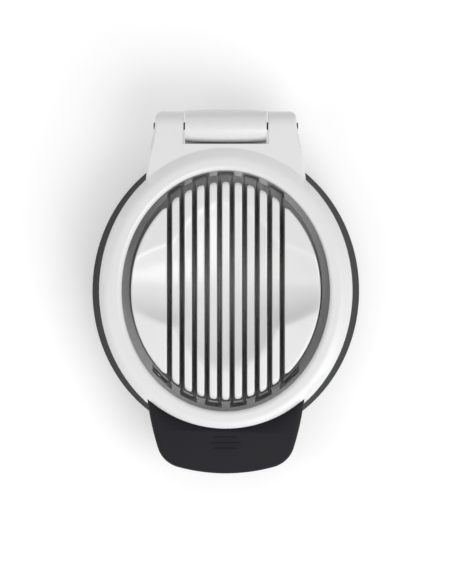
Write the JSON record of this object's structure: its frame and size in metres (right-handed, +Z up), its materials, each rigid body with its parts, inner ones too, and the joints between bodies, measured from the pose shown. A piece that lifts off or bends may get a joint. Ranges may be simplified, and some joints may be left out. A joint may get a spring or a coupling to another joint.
{
  "type": "egg slicer",
  "caption": "Hinged oval egg slicer: dark base, white slotted tray, white ring frame laced with steel wire, soft front grip.",
  "frame": {"origin": "middle of the oval plan, on the surface that the feet stand on", "axes": "+Z up, +Y towards the hinge at the back, +X to the right when the grip is nearest to the user"},
  "size_m": [0.107, 0.1456, 0.034],
  "materials": {
    "base_plastic": "dark moulded plastic, fine matt texture",
    "white_plastic": "white moulded plastic, soft gloss",
    "screw_steel": "plated steel",
    "foot_rubber": "matt non-slip rubber",
    "carrier_plastic": "light grey moulded plastic, matt",
    "wire_steel": "drawn stainless wire",
    "ferrule_steel": "crimped steel",
    "grip_rubber": "soft-touch elastomer, very fine matt texture",
    "pin_steel": "ground steel with darker rounded ends"
  },
  "bodies": {
    "base": {"base_shell": "base_plastic", "egg_tray": "white_plastic", "tray_screws": "screw_steel", "foot_front_left": "foot_rubber", "foot_front_right": "foot_rubber", "foot_rear_left": "foot_rubber", "foot_rear_right": "foot_rubber"},
    "frame": {"top_frame": "white_plastic", "wire_carrier": "carrier_plastic", "carrier_screws": "screw_steel", "slicing_wire": "wire_steel", "wire_ferrule_left": "ferrule_steel", "wire_ferrule_right": "ferrule_steel", "handle_grip": "grip_rubber", "hinge_pin": "pin_steel"}
  },
  "joints": [
    {"name": "frame_hinge", "type": "hinge", "parent": "base", "child": "frame", "pos_m": [0, 0.06585, 0.0259], "axis": [-1, 0, 0], "range_deg": [0, 100]}
  ]
}
